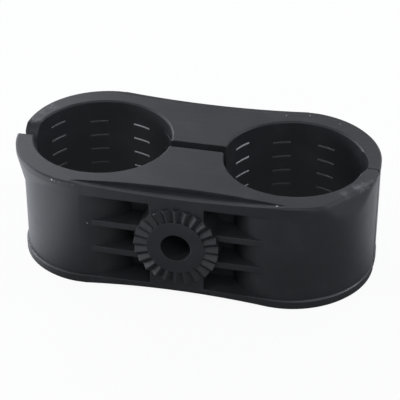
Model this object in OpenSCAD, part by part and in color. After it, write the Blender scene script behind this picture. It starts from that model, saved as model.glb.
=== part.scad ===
// Two-cable coaxial clip: a pair of moulded half shells that close on two
// feeder cables lying side by side. A rod through the serrated rosettes draws
// the halves together. The cable axes are upright, along Z.

/* [Cables] */
// Diameter of each cable seat
bore_d = 40; // [24:0.5:60]
// Plastic left between the two cable seats
web_w = 16; // [13:0.5:30]
// Height of the block along the cables
height = 33.5; // [28:0.5:60]
// Gap between the two halves along the web
slit_w = 3.4; // [0.8:0.1:5]

/* [Shell] */
// Wall from a cable seat to the mouth end of the block
mouth_wall = 1.5; // [1.4:0.1:4]
// Wall from a cable seat to the heel end of the block
heel_wall = 4.5; // [3:0.1:5]
// From a cable seat to the edge of the top rim at the ends
rim_wall = 4.6; // [4.4:0.1:7]
// Straight run of the top rim on either side of a cable axis
ring_run = 1.9; // [1.2:0.1:4]
// Height of the upright band of the top rim
band_h = 2; // [1:0.1:4]
// Height of the slope under the top rim
flare_h = 14.8; // [4:0.2:18]
// Width of that slope at the mouth end
flare_w = 3.2; // [1:0.1:4]
// Height of the foot along the bottom edge
foot_h = 2.9; // [1.5:0.1:5]
// How far the foot stands out at the mouth end and in front of the rings
foot_out = 0.6; // [0.3:0.1:1]
// How far it stands out at the heel end
foot_heel = 0.15; // [0.1:0.05:1]
// How far it stands out in the middle of the web
foot_mid = 0.1; // [0.05:0.05:0.25]
// Chamfer on the outer and seat edges
edge = 0.4; // [0.2:0.1:1]

/* [Web] */
// Depth of the pockets behind the top rim
pocket_d = 8; // [4.5:0.1:8.5]
// Radius of the outer ends of the pockets
pocket_r = 15; // [8:0.5:20]
// Width of the pillar behind the rosette
pillar_w = 15.5; // [12:0.5:24]
// Thickness of the ribs between the pockets
rib_t = 1.9; // [0.8:0.1:3]
// Number of ribs on each side of the pillar
rib_count = 2; // [1:1:4]
// How far the rib fronts lie behind the top rim
rib_back = 0.4; // [0.2:0.1:3]
// Thickness of the web wall above the top pockets
roof_t = 3.9; // [2.5:0.1:6]
// How far the edges dip in the middle of the web
dip = 1.4; // [0.5:0.1:3]
// Length of that dip
dip_l = 61; // [40:1:70]
// How far back the step behind a dip lies in the middle
step_d = 3.9; // [2:0.1:4.4]
// How far that step bows inwards
bow = 2.1; // [0.5:0.1:4]

/* [Rosette] */
// Diameter of the serrated rosette
rosette_d = 24.2; // [18:0.2:27]
// How far the rosette stands out from the top rim
rosette_out = 1.2; // [0.5:0.1:3]
// Diameter of the plain disc inside the serrations
land_d = 16.6; // [12:0.2:17.4]
// Number of serrations
teeth = 24; // [12:1:36]
// Depth of the serrations at the edge of the rosette
tooth_d = 1.2; // [0.5:0.1:2]
// Share of a serration that is left flat at its crest
crest = 0.08; // [0.02:0.02:0.3]
// Diameter of the hole for the rod
rod_d = 8.5; // [5:0.1:11]

/* [Grip] */
// Height of the grip ridges above the seat wall
grip_out = 0.2; // [0.1:0.02:0.22]
// Height of one ridge along the cable
grip_h = 0.9; // [0.6:0.1:2]
// Height of the short slope above the crest of a ridge
grip_top = 0.25; // [0.1:0.05:0.5]
// Distance from ridge to ridge along the cable
grip_pitch = 4.8; // [3:0.1:8]
// Length of a ridge around the seat, in degrees
grip_span = 16; // [6:1:20]
// Angle from column to column of ridges
grip_step = 39; // [25:1:40]

/* [Ends] */
// How far the seam at the ends lies in front of the slit
seam_shift = 2.6; // [0.5:0.1:4]
// Clearance where the two halves meet at the heel
seam_gap = 0.05; // [0.02:0.01:0.3]
// Radius of the rounded nose of the rear half
nose_r = 5.5; // [2:0.5:8]
// How far the nose stops short of the seam
nose_back = 0.4; // [0:0.1:2]
// How far the top rim of the nose is set in
nose_in = 0.8; // [0:0.1:1.2]
// Length of the ramp at the heel of the front half
ramp_l = 8.2; // [3:0.1:10]
// Drop of that ramp
ramp_d = 0.1; // [0.05:0.05:2]
// Width of the flat bevel on the corner of that heel
bevel_w = 2; // [0.5:0.1:2.5]
// Where that bevel lies around the ring, in degrees from the end
bevel_at = 38; // [25:1:60]
// Cut on the upright edge of that heel
heel_cut = 1.4; // [0.4:0.1:2]
// Relief of the front seat at the mouth
mouth_relief = 0.3; // [0.1:0.1:1]
// Relief of both seats at the heel
heel_relief = 1.2; // [0.2:0.1:2]

/* [Hidden] */
$fn = 96;
// Facets of the long, shallow arcs.
arc_fn = 360;
bore_r = bore_d / 2;
axis_x = (bore_d + web_w) / 2;
mouth_r = bore_r + mouth_wall;
heel_r = bore_r + heel_wall;
rim_r = bore_r + rim_wall;
rim_y = ring_run + rim_r;
foot_y = rim_y + foot_out;
foot_sag = foot_out - foot_mid;
foot_r = (axis_x * axis_x + foot_sag * foot_sag) / (2 * foot_sag);
foot_top = foot_out / 2;
floor_y = rim_y - pocket_d;
rib_y = rim_y - rib_back;
face_y = rim_y + rosette_out;
dip_r = (dip_l * dip_l / 4 + dip * dip) / (2 * dip);
bow_r = (axis_x * axis_x + bow * bow) / (2 * bow);
pocket_z = (height - roof_t - foot_h) / (rib_count + 1);
boss_h = rosette_out + pocket_d;
tooth_tilt = atan(tooth_d / (rosette_d / 2));
tooth_flank = (1 - crest) * tan(180 / teeth) / sin(tooth_tilt);
tooth_h = 2 * tooth_d;
grip_root = 0.6 * mouth_wall;
// Radius of a relief, and of the short one at the heel of the front half.
relief_r = 0.65 * bore_r;
short_r = 0.25 * bore_r;
grip_rows = floor((height - 2 * edge - grip_h) / grip_pitch);
grip_z = (height - (grip_rows - 1) * grip_pitch) / 2;
// Run of the heel's cut along the wall, and fall of its bevel, for 1 mm across.
heel_slope = 1.5;
bevel_slope = 3;
// Cuts and roots run past the faces by this much.
past = 1;
// Longer than the whole block.
reach = 2 * (axis_x + rim_r);

// Section of an end wall of radius r.
module wall_section(r) {
    square([r, height - band_h]);
}

// Section of the foot, of radius r.
module foot_section(r) {
    polygon([
        [0, 0],
        [r - edge, 0],
        [r, edge],
        [r, foot_h - foot_top],
        [r - foot_top, foot_h],
        [0, foot_h]
    ]);
}

// Section of the top rim of radius r: a band with a slope under it.
module rim_section(r) {
    polygon([
        [0, height - band_h - flare_h],
        [r - flare_w, height - band_h - flare_h],
        [r, height - band_h],
        [r, height - edge],
        [r - edge, height],
        [0, height]
    ]);
}

// Sweeps a section of radius r around the outer front corner of a ring, whose
// front is at y = -front_y, and straight on across the seam.
module corner(r, front_y) {
    run = front_y - r;
    translate([0, -run, 0])
        rotate([0, 0, 270])
            rotate_extrude(angle = 90)
                children();
    translate([0, ring_run, 0])
        rotate([90, 0, 0])
            linear_extrude(run + ring_run)
                children();
}

// End of the block: the wall, the foot and the top rim have each their own radius.
module end(wall_r, base_r, top_r) {
    translate([axis_x, 0, 0]) {
        corner(wall_r, rim_y)
            wall_section(wall_r);
        corner(base_r, foot_y)
            foot_section(base_r);
        corner(top_r, rim_y)
            rim_section(top_r);
    }
}

// The foot runs straight from ring to ring, and its front bows in a little.
module foot() {
    difference() {
        translate([-axis_x, 0, 0])
            rotate([90, 0, 90])
                linear_extrude(2 * axis_x)
                    polygon([
                        [-floor_y + past, 0],
                        [-foot_y + edge, 0],
                        [-foot_y, edge],
                        [-foot_y, foot_h - foot_top],
                        [-foot_y + foot_top, foot_h],
                        [-floor_y + past, foot_h]
                    ]);
        translate([0, -rim_y - foot_mid - foot_r, -past])
            cylinder(r = foot_r, h = foot_h + 2 * past, $fn = arc_fn);
    }
}

// The web: a core between the rings, ties inside their walls, the foot, the roof,
// the pillar and the ribs.
module web() {
    translate([-axis_x, -floor_y, 0])
        cube([2 * axis_x, floor_y, height]);
    for (side = [-1, 1])
        translate([side * axis_x - past, past - rim_y, past])
            cube([2 * past, rim_y - past, height - 2 * past]);
    foot();
    translate([-axis_x, -rim_y, height - roof_t])
        cube([2 * axis_x, pocket_d + past, roof_t]);
    translate([-pillar_w / 2, -rim_y, edge])
        cube([pillar_w, pocket_d + past, height - 2 * edge]);
    for (i = [1:rib_count])
        translate([-axis_x, -rib_y, foot_h + i * pocket_z - rib_t / 2])
            cube([2 * axis_x, rib_y - floor_y + past, rib_t]);
    for (side = [0, 1])
        mirror([side, 0, 0])
            translate([-axis_x, pocket_r - rim_y, foot_h / 2])
                rotate([0, 0, 270])
                    rotate_extrude(angle = 90)
                        square([pocket_r, height - roof_t / 2 - foot_h / 2]);
}

// Each serration is a V whose bottom line falls away from the rod axis.
module serrations() {
    for (i = [0:teeth - 1])
        rotate([0, 0, (i + 0.5) * 360 / teeth])
            rotate([0, tooth_tilt, 0])
                rotate([90, 0, 90])
                    linear_extrude(rosette_d)
                        polygon([
                            [0, 0],
                            [tooth_flank * tooth_h, tooth_h],
                            [-tooth_flank * tooth_h, tooth_h]
                        ]);
}

module rosette() {
    translate([0, -floor_y, height / 2])
        rotate([90, 0, 0]) {
            difference() {
                cylinder(d = rosette_d, h = boss_h);
                translate([0, 0, boss_h])
                    serrations();
            }
            cylinder(d = land_d, h = boss_h);
        }
}

// The rims sag between the rings and leave a step in front of the web core.
module scoop() {
    intersection() {
        translate([0, 0, height - dip + dip_r])
            rotate([90, 0, 0])
                cylinder(r = dip_r, h = 2 * rim_y, $fn = arc_fn);
        translate([0, step_d - rim_y - bow_r, 0])
            cylinder(r = bow_r, h = height + past, $fn = arc_fn);
        translate([-dip_l / 2, -face_y - past, height / 2])
            cube([dip_l, face_y, height]);
    }
}

module seat() {
    translate([0, 0, -past])
        cylinder(r = bore_r, h = height + 2 * past);
    translate([0, 0, height - edge])
        cylinder(r1 = bore_r, r2 = bore_r + 2 * edge, h = 2 * edge);
    translate([0, 0, -edge])
        cylinder(r1 = bore_r + 2 * edge, r2 = bore_r, h = 2 * edge);
}

// Room cut from the end of a seat at the seam, so that the cable isn't pinched.
module relief(depth, r) {
    translate([axis_x + bore_r + depth - r, 0, -past])
        cylinder(r = r, h = height + 2 * past);
}

// One column of ridges, turned about the cable axis. Each ridge has a short
// slope above its crest and a long one below, and a root in the wall.
module grip_column(rows, low_z) {
    rotate_extrude(angle = grip_span)
        for (i = [0:rows - 1])
            translate([bore_r, low_z + i * grip_pitch])
                polygon([
                    [0, grip_h / 2],
                    [-grip_out, grip_h / 2 - grip_top],
                    [0, -grip_h / 2],
                    [grip_root, -grip_h / 2],
                    [grip_root, grip_h / 2]
                ]);
}

// Four columns in each seat: the ridges of the inner two stand between those of the outer two.
module grips() {
    for (side = [-1, 1]) {
        rotate([0, 0, 270 + side * 1.5 * grip_step - grip_span / 2])
            grip_column(grip_rows, grip_z);
        rotate([0, 0, 270 + side * 0.5 * grip_step - grip_span / 2])
            grip_column(grip_rows - 1, grip_z + grip_pitch / 2);
    }
}

// Half shell as moulded, before its ends are trimmed: the front one, seen from -Y.
// Its mouth end is at -X and its heel end at +X, and its seats may be eased at the seam.
module half_shell(mouth_top, mouth_ease, heel_ease_r) {
    difference() {
        union() {
            mirror([1, 0, 0])
                end(mouth_r, mouth_r + foot_out, mouth_top);
            end(heel_r, heel_r + foot_heel, rim_r);
            web();
            rosette();
        }
        for (side = [-1, 1])
            translate([side * axis_x, 0, 0])
                seat();
        if (mouth_ease > 0)
            mirror([1, 0, 0])
                relief(mouth_ease, relief_r);
        relief(heel_relief, heel_ease_r);
        translate([0, past, height / 2])
            rotate([90, 0, 0])
                cylinder(d = rod_d, h = 2 * face_y);
        scoop();
        translate([0, 0, height])
            mirror([0, 0, 1])
                scoop();
    }
    for (side = [-1, 1])
        translate([side * axis_x, 0, 0])
            grips();
}

// Room that a half takes: the web side of the slit, and ends whose sections
// (in Y and Z) are the children, the mouth's and then the heel's.
module trim() {
    translate([-axis_x, -reach - slit_w / 2, -past])
        cube([2 * axis_x, reach, height + 2 * past]);
    translate([-axis_x - reach, 0, 0])
        rotate([90, 0, 90])
            linear_extrude(reach)
                children(0);
    translate([axis_x, 0, 0])
        rotate([90, 0, 90])
            linear_extrude(reach)
                children(1);
}

module square_section(tip_y) {
    translate([tip_y - reach, -past])
        square([reach, height + 2 * past]);
}

// Heel of the front half: its edges ramp down towards the rear half.
module ramp_section(tip_y) {
    polygon([
        [-reach, 0],
        [tip_y - ramp_l, 0],
        [tip_y, ramp_d],
        [tip_y, height - ramp_d],
        [tip_y - ramp_l, height],
        [-reach, height]
    ]);
}

// A wedge whose edge is the Z axis of its frame: cuts away all beyond a slant.
module wedge(slope, l) {
    linear_extrude(l, center = true)
        polygon([
            [0, 0],
            [rim_wall, -slope * rim_wall],
            [rim_wall, past],
            [0, past]
        ]);
}

// The upright edge of that heel is cut off at a slant.
module heel_slant(tip_y) {
    translate([axis_x + heel_r - heel_cut / 2, tip_y, height / 2])
        wedge(heel_slope, height + 2 * past);
}

// The corner of that heel has a flat bevel along its top edge.
module heel_bevel() {
    translate([axis_x, -ring_run, height])
        rotate([0, 0, -bevel_at])
            translate([rim_r - bevel_w, 0, 0])
                rotate([90, 0, 0])
                    wedge(bevel_slope, 2 * rim_r);
}

// Nose of the rear half: rounded off at the top and bottom.
module nose_section(tip_y) {
    translate([tip_y - reach, nose_r])
        square([reach, height - 2 * nose_r]);
    translate([tip_y - nose_r - reach, 0])
        square([reach, height]);
    for (z = [nose_r, height - nose_r])
        translate([tip_y - nose_r, z])
            circle(nose_r);
}

module front_half() {
    heel_y = slit_w / 2 - seam_shift - seam_gap;
    color("#2a2b2d")
        difference() {
            intersection() {
                half_shell(rim_r, mouth_relief, short_r);
                trim() {
                    square_section(-slit_w / 2 - seam_shift);
                    ramp_section(heel_y);
                }
            }
            heel_slant(heel_y);
            heel_bevel();
        }
}

module rear_half() {
    color("#2a2b2d")
        mirror([0, 1, 0])
            intersection() {
                half_shell(rim_r - nose_in, 0, relief_r);
                trim() {
                    nose_section(seam_shift - slit_w / 2 - nose_back);
                    square_section(seam_shift - slit_w / 2);
                }
            }
}

front_half();
rear_half();
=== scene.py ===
import math

import bmesh
import bpy
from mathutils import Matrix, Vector


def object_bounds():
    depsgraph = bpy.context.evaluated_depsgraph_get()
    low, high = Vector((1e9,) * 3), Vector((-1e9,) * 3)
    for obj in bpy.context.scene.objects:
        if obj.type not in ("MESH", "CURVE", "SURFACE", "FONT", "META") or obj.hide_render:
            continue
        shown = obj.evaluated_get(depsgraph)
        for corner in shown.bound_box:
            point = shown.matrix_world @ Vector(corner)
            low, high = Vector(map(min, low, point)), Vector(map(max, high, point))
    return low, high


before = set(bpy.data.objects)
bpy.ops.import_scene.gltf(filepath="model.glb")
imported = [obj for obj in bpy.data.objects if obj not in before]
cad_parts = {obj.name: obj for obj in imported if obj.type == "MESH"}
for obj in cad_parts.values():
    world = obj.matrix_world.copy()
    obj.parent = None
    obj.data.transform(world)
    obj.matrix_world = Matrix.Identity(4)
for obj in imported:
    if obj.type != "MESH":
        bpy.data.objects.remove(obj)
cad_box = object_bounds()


# Half shells: two injection mouldings in satin black polypropylene, which a rod through the rosettes draws
# together. The mould leaves a fine grain and flow lines, and handling has paled and nicked the edges.
# Glints on the foot's upper edge and on the ridges are painted highlights.

MM = 0.001
BLACK = (0.0235, 0.0247, 0.0275, 1.0)
PALE = (0.12, 0.122, 0.13, 1.0)
BLOTCH_PALE = (0.15, 0.152, 0.16, 1.0)
BURR = (0.62, 0.62, 0.64, 1.0)

# Sizes and places are in mm, and angles in degrees.
low, high = (Vector(corner) for corner in cad_box)
TOP = high.z / MM
SEAT_X = 28.0
SEAT_R = 20.0
COLUMN_STEP = 39.0
COLUMN_SIZE = 5.0
LIP_R = 24.6
LIP_Y = -1.9
LIP_Z = TOP - 0.7
FOOT_TOP = 2.9
EDGE_ROUND = 0.35
EDGE_REACH = 0.6
HEEL = (47.3, -17.0, 28.0)
HEEL_SIZE = 17.0
HEEL_BEVEL = 3.0
BLOTCH_SWAY = 3.0

# Nicks along the lip at the mouth: the angle about the left ring, the size and the share.
NICKS = (
    (251.5, 0.36, 1.0),
    (253.6, 0.22, 0.3),
    (257.2, 0.26, 0.25),
    (263.0, 0.22, 0.12),
    (266.5, 0.3, 0.1),
)
# Columns of ridges painted bright as glints: the side of the seat, the angle about it and the share.
LEFT_COLUMN = 90 + 1.5 * COLUMN_STEP
RIGHT_COLUMN = 90 - 0.5 * COLUMN_STEP
RIDGE_GLINTS = (
    (-1, RIGHT_COLUMN, 1.0),
    (-1, LEFT_COLUMN, 0.15),
    (1, LEFT_COLUMN, 0.8),
    (1, RIGHT_COLUMN, 0.13),
)
# Specks of dust and burrs elsewhere: the place, the size and the share.
SPECKS = (
    ((27.8, -25.2, TOP), 0.45, 1.0),
    ((-25.7, -26.3, 20.5), 0.25, 0.6),
    ((-27.6, 26.4, TOP), 0.3, 1.0),
    ((21.7, 23.0, TOP), 0.22, 0.8),
    ((28.5, 24.3, TOP), 0.22, 0.8),
    ((37.9, 21.4, TOP), 0.22, 0.6),
    ((9.8, 8.3, TOP), 0.22, 0.5),
    ((-6.0, -27.6, 27.3), 0.25, 0.6),
)
# Pale blotches on the heel of the front half and beside the nose of the rear half, in the same way.
PALE_BLOTCHES = (
    ((51.0, -7.2, TOP), 1.8, 0.4),
    ((49.6, -9.5, TOP), 1.9, 0.7),
    ((48.2, -11.4, TOP), 2.2, 1.0),
    ((44.8, -15.4, TOP), 2.0, 0.6),
    ((-49.8, 4.5, TOP), 2.4, 0.7),
    ((-49.2, 9.0, TOP), 2.6, 0.5),
    ((-47.6, 12.5, TOP), 2.4, 0.7),
)


class Socket:
    """A shader socket that takes part in Python expressions."""

    def __init__(self, tree, output=None):
        self.tree = tree
        self.output = output

    def node(self, kind, settings=None, out=0, **values):
        """Adds a node: its settings first, then the values or links of its sockets."""
        made = self.tree.nodes.new("ShaderNode" + kind)
        for key, value in (settings or {}).items():
            setattr(made, key, value)
        for key, value in values.items():
            index = int(key[1:]) if key[0] == "i" and key[1:].isdigit() else key.replace("_", " ")
            if isinstance(value, Socket):
                self.tree.links.new(value.output, made.inputs[index])
            else:
                made.inputs[index].default_value = value
        return Socket(self.tree, made.outputs[out] if made.outputs else None)

    def math(self, operation, *values):
        """A Math node on numbers or sockets."""
        sockets = {f"i{i}": value for i, value in enumerate(values)}
        return self.node("Math", {"operation": operation}, **sockets)

    def vector(self, operation, first, second, out=0):
        """A Vector Math node on two vectors. Its output 1 is the one for a single number."""
        return self.node("VectorMath", {"operation": operation}, out=out, i0=first, i1=second)

    def __add__(self, other):
        return self.math("ADD", self, other)

    __radd__ = __add__

    def __mul__(self, other):
        return self.math("MULTIPLY", self, other)

    __rmul__ = __mul__

    def __sub__(self, other):
        return self.math("SUBTRACT", self, other)

    def __rsub__(self, other):
        return self.math("SUBTRACT", other, self)

    def blend(self, low, high):
        """Goes smoothly from 0 at low to 1 at high, where high may be the smaller."""
        ends = (1.0, 0.0) if high < low else (0.0, 1.0)
        low, high = sorted((low, high))
        settings = {"interpolation_type": "SMOOTHSTEP"}
        return self.node("MapRange", settings, i0=self, i1=low, i2=high, i3=ends[0], i4=ends[1])

    def mix(self, share, low, high):
        """The colour low with a share of the colour high."""
        return self.node("Mix", {"data_type": "RGBA"}, out=2, i0=share, i6=low, i7=high)

    def turn(self, share, low, high):
        """The direction low with a share of the direction high."""
        return self.node("Mix", {"data_type": "VECTOR"}, out=1, i0=share, i4=low, i5=high)

    def axes(self):
        """The three parts of a vector."""
        split = self.node("SeparateXYZ", i0=self).output.node
        return [Socket(self.tree, part) for part in split.outputs]

    def length(self, first, second):
        """The length of a flat vector, from its two parts."""
        return self.math("SQRT", first * first + second * second)


def start(owner):
    """Clears the nodes of a material or world and returns a socket to make new ones with."""
    owner.use_nodes = True
    owner.node_tree.nodes.clear()
    return Socket(owner.node_tree)


material = bpy.data.materials.new("satin_black")
make = start(material)
place = make.vector("MULTIPLY", make.node("TexCoord", out=3), (1 / MM, 1 / MM, 1 / MM))
x, y, z = place.axes()
normal = make.node("NewGeometry", out=1)
LEVEL_RANGE = (0.8, 0.95)
level = normal.axes()[2].blend(*LEVEL_RANGE)


def noise(waves, detail=3.0, roughness=0.55):
    """Noise with so many waves in each mm along the three axes."""
    spot = make.vector("MULTIPLY", place, waves)
    return make.node("TexNoise", Vector=spot, Scale=1.0, Detail=detail, Roughness=roughness)


def near(spots, inner, where=place):
    """A mask with the share of each spot in its inner part, which fades out at its edge."""
    total = 0.0
    for point, size, share in spots:
        apart = make.vector("DISTANCE", where, point, out=1)
        total = apart.blend(size, inner * size) * share + total
    return make.math("MINIMUM", total, 1.0)


def around(middle, radius, angle, height):
    """A point at an angle on a circle about an upright axis."""
    turn = math.radians(angle)
    return (middle[0] + radius * math.cos(turn), middle[1] + radius * math.sin(turn), height)


# The mould's marks: broad mottling, small clouds, a fine grain, and flow lines along the level faces.
MOTTLE_WAVES = (0.11, 0.11, 0.11)
CLOUD_WAVES = (0.45, 0.45, 0.45)
GRAIN_WAVES = (2.6, 2.6, 2.6)
FLOW_WAVES = (0.05, 1.0, 0.6)
FLOW_RANGE = (0.4, 0.8)
FLOW_SHARE = 0.5
PATCH_RANGE = (0.45, 0.75)
mottle = noise(MOTTLE_WAVES, detail=4.0, roughness=0.6)
cloud = noise(CLOUD_WAVES)
grain = noise(GRAIN_WAVES)
streak = noise(FLOW_WAVES).blend(*FLOW_RANGE) * level
patches = mottle.blend(*PATCH_RANGE) + streak * FLOW_SHARE

# Edges that stand free are rounded and worn. Inner corners, which lie in each other's shade, stay sharp.
FREE_RANGE = (0.6, 0.95)
BEND_RANGE = (0.01, 0.16)
WEAR_RANGE = (0.35, 0.6)
own_shade = {"samples": 8, "only_local": True}
free = make.node("AmbientOcclusion", own_shade, out=1, Distance=EDGE_REACH * MM).blend(*FREE_RANGE)
soft = make.node("Bevel", {"samples": 6}, Radius=EDGE_ROUND * MM)
bend = 1.0 - make.vector("DOT_PRODUCT", soft, normal, out=1)
edges = bend.blend(*BEND_RANGE) * free
worn = edges * mottle.blend(*WEAR_RANGE)

# Crests of the ridges, which are the only faces that lie inside the seats' radius, and the columns painted
# bright as glints.
CREST_RANGE = (SEAT_R - 0.06, SEAT_R - 0.13)
along = make.math("ABSOLUTE", x)
distance = make.length(along - SEAT_X, y)
crest = distance.blend(*CREST_RANGE)
columns = []
for side, angle, share in RIDGE_GLINTS:
    columns.append((around((side * SEAT_X, 0), SEAT_R, angle, 0), COLUMN_SIZE, share))
ridge_glints = crest * near(columns, inner=0.8, where=make.vector("MULTIPLY", place, (1, 1, 0)))

# Upper edge of the foot, outside the seats and away from the web, painted pale as a highlight.
FOOT_FROM = (FOOT_TOP - 0.5, FOOT_TOP - 0.1)
FOOT_TO = (FOOT_TOP + 0.2, FOOT_TOP)
FOOT_OUTSIDE = (SEAT_R + 1.0, SEAT_R + 1.2)
FOOT_ENDS = (SEAT_X + 2.0, SEAT_X + 14.0)
foot_glint = z.blend(*FOOT_FROM) * z.blend(*FOOT_TO) * distance.blend(*FOOT_OUTSIDE) * along.blend(*FOOT_ENDS)

# Nicks and specks are round, and the pale blotches on the heel and beside the nose are frayed by a noise
# that shifts them sideways.
SWAY_WAVES = 0.7
BLOTCH_WAVES = (1.2, 1.2, 0.4)
BLOTCH_RANGE = (0.3, 0.6)
nicks = []
for angle, size, share in NICKS:
    nicks.append((around((-SEAT_X, LIP_Y), LIP_R, angle, LIP_Z), size, share))
burrs = near(nicks + list(SPECKS), inner=0.5)
sway = make.node("TexNoise", out=1, Vector=place, Scale=SWAY_WAVES, Detail=3.0)
sway = make.vector("SUBTRACT", sway, (0.5, 0.5, 0.5))
sway = make.vector("MULTIPLY", sway, (BLOTCH_SWAY, BLOTCH_SWAY, 0))
pale_blotches = near(PALE_BLOTCHES, inner=0.1, where=make.vector("ADD", place, sway))
pale_blotches = pale_blotches * noise(BLOTCH_WAVES, detail=2.0).blend(*BLOTCH_RANGE)

# Colour: black, with a share of a paler tone for each mark, the last on top.
# The paler tone on the foot's upper edge, on the crests and on the ridge columns is a painted highlight.
tone = BLACK
for mark, share, colour in (
    (patches, 0.1, PALE),
    (worn, 0.3, PALE),
    (foot_glint, 0.7, PALE),
    (crest, 0.1, PALE),
    (ridge_glints, 1.0, BURR),
    (pale_blotches, 1.0, BLOTCH_PALE),
    (burrs, 1.0, BURR),
):
    tone = make.mix(mark * share, tone, colour)

# Roughness: satin, and what each mark adds to it or, where it is rubbed smooth, takes away.
SATIN = 0.36
rough = SATIN
for mark, change in (
    (mottle, 0.16),
    (cloud, 0.08),
    (streak, -0.04),
    (crest, -0.14),
    (foot_glint, -0.1),
    (edges, 0.15),
    (pale_blotches, 0.1),
):
    rough = mark * change + rough

# Relief: rounded edges, a broad round on the wall of the heel, and the grain and flow lines.
GRAIN_DEPTH = 0.03
GRAIN_SHARE = 0.6
heel = near([(HEEL, HEEL_SIZE, 1.0)], inner=0.7) * (1.0 - level)
broad = make.node("Bevel", {"samples": 8}, Radius=HEEL_BEVEL * MM)
rounded = make.turn(heel, make.turn(free, normal, soft), broad)
relief = grain * GRAIN_SHARE + streak * (1 - GRAIN_SHARE)
bump = make.node("Bump", Strength=0.3, Distance=GRAIN_DEPTH * MM, Height=relief, Normal=rounded)
plastic = make.node("BsdfPrincipled", Base_Color=tone, Roughness=rough, IOR=1.49, Normal=bump)
make.node("OutputMaterial", Surface=plastic)

for half in ("front_half", "rear_half"):
    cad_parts[half].material_slots[0].material = material


# Floor: a sheet of white paper that the clip stands on. It looks white and keeps the clip's soft shadow.
# Only in the gloss of the walls does it glow, as a painted reflection: bright at the left, right and back,
# and dim inside the seats.

FLOOR_HALF = 3.0
PAPER = (0.35, 0.35, 0.35, 1.0)
WHITE = (1.0, 1.0, 1.0, 1.0)
COOL = (0.94, 0.975, 1.045, 1.0)
GLOW = 0.93
LIT_LEFT = 1.4
LIT_BACK = 1.0
LIT_RIGHT = 0.85
LIT_FAR = 0.5
LIT_SEATS = 0.2

# Where each bright stretch of the paper starts and where it is full, in mm.
LEFT_EDGE = (-35, -60)
BACK_EDGE = (22, 45)
RIGHT_EDGE = (45, 65)
RIGHT_FRONT = (-20, 25)
FAR_EDGE = (100, 200)
SEAT_EDGE = (SEAT_R, SEAT_R - 3)

bm = bmesh.new()
bmesh.ops.create_grid(bm, x_segments=1, y_segments=1, size=FLOOR_HALF)
bmesh.ops.translate(bm, verts=bm.verts, vec=(0, 0, low.z))
floor_mesh = bpy.data.meshes.new("floor")
bm.to_mesh(floor_mesh)
bm.free()
floor = bpy.data.objects.new("floor", floor_mesh)
bpy.context.scene.collection.objects.link(floor)

paper = bpy.data.materials.new("white_paper")
make = start(paper)
in_view = make.node("LightPath")
mirrored = make.node("LightPath", out=3)
place = make.vector("MULTIPLY", make.node("TexCoord", out=3), (1 / MM, 1 / MM, 1 / MM))
x, y, _ = place.axes()
distance = make.length(make.math("ABSOLUTE", x) - SEAT_X, y)
lit = x.blend(*LEFT_EDGE) * LIT_LEFT
for stretch in (
    y.blend(*BACK_EDGE) * LIT_BACK,
    x.blend(*RIGHT_EDGE) * y.blend(*RIGHT_FRONT) * LIT_RIGHT,
    x.blend(*FAR_EDGE) * LIT_FAR,
    distance.blend(*SEAT_EDGE) * LIT_SEATS,
):
    lit = make.math("MAXIMUM", lit, stretch)
sheet = make.node("BsdfDiffuse", Color=make.mix(in_view, PAPER, WHITE))
glow = make.node("Emission", Color=WHITE, Strength=1.0)
surface = make.node("MixShader", i0=in_view * GLOW, i1=sheet, i2=glow)
# A painted reflection: the paper glows by place for the gloss of the walls alone.
shine = make.node("Emission", Color=COOL, Strength=LIT_LEFT)
shine = make.node("MixShader", i0=lit * mirrored * (1 / LIT_LEFT), i2=shine)
make.node("OutputMaterial", Surface=make.node("AddShader", i0=surface, i1=shine))
floor_mesh.materials.append(paper)


# Room and lamps: a dim room, which the camera sees as plain white, with soft and slightly cool lamps. Those
# at the back lie in the gloss of the level faces, those at the sides glint on the ridges and the ends, and
# those at the front fill the pockets.

ROOM = 0.11
middle = (low + high) / 2

world = bpy.data.worlds.new("room")
bpy.context.scene.world = world
make = start(world)
strength = make.node("LightPath") * (1 - ROOM) + ROOM
make.node("OutputWorld", Surface=make.node("Background", Color=WHITE, Strength=strength))


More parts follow.
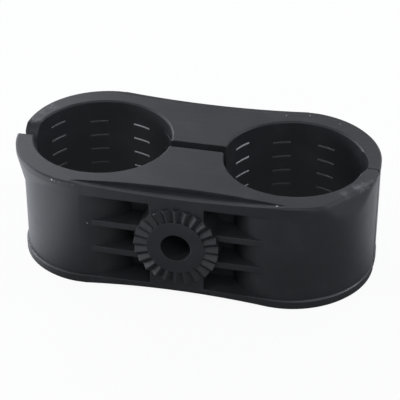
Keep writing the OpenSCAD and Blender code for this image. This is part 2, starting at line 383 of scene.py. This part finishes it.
def lamp(name, spot, width, depth, power):
    """A flat lamp that faces the clip. Its spot and size are in metres and its power in watts."""
    data = bpy.data.lights.new(name, "AREA")
    data.shape = "RECTANGLE"
    data.size = width
    data.size_y = depth
    data.energy = power
    data.color = COOL[:3]
    made = bpy.data.objects.new(name, data)
    made.location = spot
    made.rotation_euler = (middle - Vector(spot)).to_track_quat("-Z", "Y").to_euler()
    bpy.context.scene.collection.objects.link(made)


lamp("back_left", (-0.7, 0.8, 0.5), width=0.6, depth=0.5, power=6.2)
lamp("back", (0.37, 1.0, 0.55), width=0.8, depth=0.4, power=2.8)
lamp("front_top", (0.0, -0.5, 0.9), width=0.6, depth=0.6, power=1.5)
lamp("front", (0.42, -0.8, 0.57), width=0.7, depth=0.5, power=1.9)
lamp("right", (0.87, 0.12, 0.5), width=0.3, depth=0.3, power=2.4)
lamp("left_front", (-0.69, -0.52, 0.6), width=0.25, depth=0.25, power=1.2)
lamp("left", (-0.9, 0.1, 0.42), width=0.4, depth=0.3, power=0.8)
lamp("left_low", (-0.6, -0.05, 0.08), width=0.3, depth=0.1, power=1.4)


# Camera: looks down on the clip from the front and a little to the right, through a long lens from about
# half a metre away.

AZIMUTH = math.radians(12.78)
ELEVATION = math.radians(33.22)
DISTANCE = 476.07 * MM
TARGET = Vector((0.763, 0.0, 15.228)) * MM
FOCAL_PX = 1629.4
FRAME_PX = 400
SENSOR = 36.0
NEAREST = 0.01

camera = bpy.data.cameras.new("camera")
camera.sensor_width = SENSOR
camera.lens = FOCAL_PX / FRAME_PX * SENSOR
camera.clip_start = NEAREST
viewer = bpy.data.objects.new("camera", camera)
toward = Vector((
    math.sin(AZIMUTH) * math.cos(ELEVATION),
    -math.cos(AZIMUTH) * math.cos(ELEVATION),
    math.sin(ELEVATION),
))
viewer.location = TARGET + toward * DISTANCE
viewer.rotation_euler = (-toward).to_track_quat("-Z", "Y").to_euler()
bpy.context.scene.collection.objects.link(viewer)
bpy.context.scene.camera = viewer
bpy.context.scene.view_settings.view_transform = "Standard"
